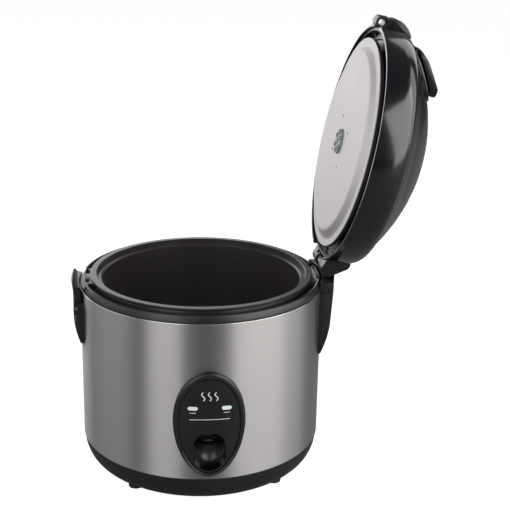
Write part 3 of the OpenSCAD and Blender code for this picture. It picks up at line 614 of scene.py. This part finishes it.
def makeMarks():
    steps, dashSteps = marks["steps"], marks["dashSteps"]
    z = lensMiddle.z - marks["lineDrop"]
    line = [(-marks["lineLength"] / 2 + marks["lineLength"] * i / steps, z) for i in range(steps + 1)]
    strokes = [(line, marks["lineHeight"])]
    z = lensMiddle.z - marks["dashDrop"]
    for side in (-1, 1):
        middle = side * lensMiddle.x
        dash = [(middle + marks["dashWidth"] * (i / dashSteps - 0.5), z) for i in range(dashSteps + 1)]
        strokes.append((dash, marks["lineHeight"]))
    # three plain curls of steam above the lamps
    for offset in marks["curlOffsets"]:
        curl = [(offset + marks["curlSwing"] * math.sin(2 * math.pi * i / steps),
                 lensMiddle.z + marks["curlLift"] + marks["curlHeight"] * i / steps) for i in range(steps + 1)]
        strokes.append((curl, marks["curlThick"]))
    points, faces = [], []
    for route, thick in strokes:
        start = len(points)
        morePoints, moreFaces = printedStroke(route, thick)
        points += morePoints
        faces += [tuple(start + k for k in face) for face in moreFaces]
    makePiece("panelPrint", points, faces, printInk, "base")


makeMarks()
print("stage: panel made")


# the cut edge at the top of the steel band: a real bead, its metal coloured lighter as a painted highlight
hem = {"radius": 107.75, "above": 0.1, "thick": 0.4, "steps": 180}
points, faces = lathe(bead(hem["radius"], bandHigh + hem["above"], hem["thick"]), hem["steps"])
makePiece("bandTopEdge", points, faces, sheetEdgePaintedHighlight, "base")


def repeatedRound(name, settings, material):
    # Short tapered bosses at even steps on a circle; lengths in mm, Length is the stretch along the circle
    tree = bpy.data.node_groups.new(name, "GeometryNodeTree")
    for label in settings:
        kind = "NodeSocketInt" if label == "Count" else "NodeSocketFloat"
        tree.interface.new_socket(label, in_out="INPUT", socket_type=kind)
    tree.interface.new_socket("Geometry", in_out="OUTPUT", socket_type="NodeSocketGeometry")
    inputs = addNode(tree, "NodeGroupInput")
    output = addNode(tree, "NodeGroupOutput")
    circle = addNode(tree, "GeometryNodeMeshCircle", None,
                     {"Vertices": inputs.outputs["Count"], "Radius": inputs.outputs["Circle"]})
    boss = addNode(tree, "GeometryNodeMeshCone", {"Vertices": 24},
                   {"Radius Top": inputs.outputs["Top"], "Radius Bottom": inputs.outputs["Bottom"],
                    "Depth": inputs.outputs["Height"]})
    long = addNode(tree, "ShaderNodeCombineXYZ", {"X": 1.0, "Z": 1.0}, {"Y": inputs.outputs["Length"]})
    stretched = addNode(tree, "GeometryNodeTransform", None,
                        {"Geometry": boss.outputs["Mesh"], "Scale": long.outputs[0]})
    place = addNode(tree, "GeometryNodeInputPosition")
    aim = addNode(tree, "FunctionNodeAlignRotationToVector", {"axis": "X"}, {"Vector": place.outputs[0]})
    spaced = addNode(tree, "GeometryNodeInstanceOnPoints", None,
                     {"Points": circle.outputs["Mesh"], "Instance": stretched.outputs[0], "Rotation": aim.outputs[0]})
    real = addNode(tree, "GeometryNodeRealizeInstances", None, {"Geometry": spaced.outputs[0]})
    smooth = addNode(tree, "GeometryNodeSetShadeSmooth", {"Shade Smooth": False}, {"Geometry": real.outputs[0]})
    painted = addNode(tree, "GeometryNodeSetMaterial", {"Material": material}, {"Geometry": smooth.outputs[0]})
    tree.links.new(painted.outputs[0], output.inputs[0])

    piece = linked(name, bpy.data.meshes.new(name))
    modifier = piece.modifiers.new("repeat", "NODES")
    modifier.node_group = tree
    scales = {"Count": 1, "Length": 1.0}
    for item in tree.interface.items_tree:
        if item.in_out == "INPUT":
            modifier[item.identifier] = settings[item.name] * scales.get(item.name, mm)
    baked(piece, name)
    return piece


def swingMesh(piece, rise):
    # Lifted by rise mm, then swung open with the lid
    centre = Vector(hingeSpot)
    turn = Matrix.Rotation(openAngle, 3, "Y")
    for vertex in piece.data.vertices:
        vertex.co += Vector((0, 0, rise)) * mm
        vertex.co = turn @ (vertex.co - centre) + centre
    piece.data.update()


channelBosses = {"Count": 24, "Circle": 97.8, "Bottom": 1.2, "Top": 1.5, "Height": 3.0, "Length": 1.6}
channelFloor = bandHigh + 16.0
bossProud = 1.4                   # the rest of a boss is sunk in the channel's floor
piece = repeatedRound("channelBosses", channelBosses, lidPolypropylene)
swingMesh(piece, channelFloor - bossProud)
finish(piece, "lid")
print("stage: repeated pieces made")


# a fine bead on the lip of the lid
lipBead = {"radius": 101.3, "above": 10.55, "thick": 0.3, "steps": 160}
points, faces = lathe(bead(lipBead["radius"], bandHigh + lipBead["above"], lipBead["thick"]), lipBead["steps"])
makePiece("lidLipBead", swungOpen(points), faces, lidPolypropylene, "lid")
print("stage: lid trim made")


studio = {
    "floorDark": "#7c7c7b",
    "floorLight": "#7f7f7e",
    "floorHalf": 30,     # m
    "floorGlow": 0.95,   # added for the camera only, so the paper is white but the metal stays deep
    "sky": 0.12,
    "aim": 0.15,         # m above the table
    "lamps": [
        # azimuth, elevation, distance, width, height, watts
        ("leftStrip", -127, 22, 1.9, 1.05, 1.8, 17),
        ("rightStrip", -40, 22, 1.9, 1.9, 1.8, 38),
        ("rightFill", 0, 22, 1.9, 0.9, 1.8, 10),
        ("leftFill", 178, 18, 1.9, 1.6, 1.4, 9),
        ("overhead", 100, 72, 1.8, 1.0, 1.0, 2),
        ("rearRight", 44, 30, 2.0, 0.7, 1.4, 4),
        ("rearLeft", 114, 6, 1.9, 2.4, 1.7, 25),
    ],
}


def makeStudio():
    world = bpy.data.worlds.new("studio")
    bpy.context.scene.world = world
    world.use_nodes = True
    tree = world.node_tree
    tree.nodes.clear()
    path = addNode(tree, "ShaderNodeLightPath")
    glow = addNode(tree, "ShaderNodeBackground", {"Color": (1, 1, 1, 1), "Strength": studio["sky"]})
    seen = addNode(tree, "ShaderNodeBackground", {"Color": (1, 1, 1, 1), "Strength": 1.0})
    mixed = addNode(tree, "ShaderNodeMixShader", None,
                    {0: path.outputs["Is Camera Ray"], 1: glow.outputs[0], 2: seen.outputs[0]})
    addNode(tree, "ShaderNodeOutputWorld", None, {"Surface": mixed.outputs[0]})
    for name, azimuth, elevation, distance, width, height, watts in studio["lamps"]:
        data = bpy.data.lights.new(name, "AREA")
        data.shape = "RECTANGLE"
        data.size, data.size_y = width, height
        data.energy = watts
        lamp = linked(name, data)
        a, e = math.radians(azimuth), math.radians(elevation)
        spot = Vector((math.cos(a) * math.cos(e), math.sin(a) * math.cos(e), math.sin(e))) * distance
        lamp.location = spot + Vector((0, 0, studio["aim"]))
        lamp.rotation_euler = (-spot).to_track_quat("-Z", "Y").to_euler()
        lamp.visible_camera = False
    # matt backdrop paper: even and white, with no edge in sight
    paper, tree, shader = newMaterial("paleBackdropPaper", {"Roughness": 0.7, "Emission Color": (1, 1, 1, 1)})
    path = addNode(tree, "ShaderNodeLightPath")
    lift = addNode(tree, "ShaderNodeMath", {"operation": "MULTIPLY", 1: studio["floorGlow"]},
                   {0: path.outputs["Is Camera Ray"]})
    tree.links.new(lift.outputs[0], shader.inputs["Emission Strength"])
    coords = addNode(tree, "ShaderNodeTexCoord")
    fibres = addNode(tree, "ShaderNodeTexNoise", {"Scale": 40.0, "Detail": 2.0}, {"Vector": coords.outputs["Object"]})
    tint(tree, shader, fibres.outputs[0], studio["floorDark"], studio["floorLight"])
    mesh = bpy.data.meshes.new("floor")
    half = studio["floorHalf"]
    mesh.from_pydata([(-half, -half, 0), (half, -half, 0), (half, half, 0), (-half, half, 0)], [], [(0, 1, 2, 3)])
    mesh.materials.append(paper)
    floor = linked("floor", mesh)
    bpy.context.scene.view_settings.view_transform = "Standard"


makeStudio()
print("stage: studio made")
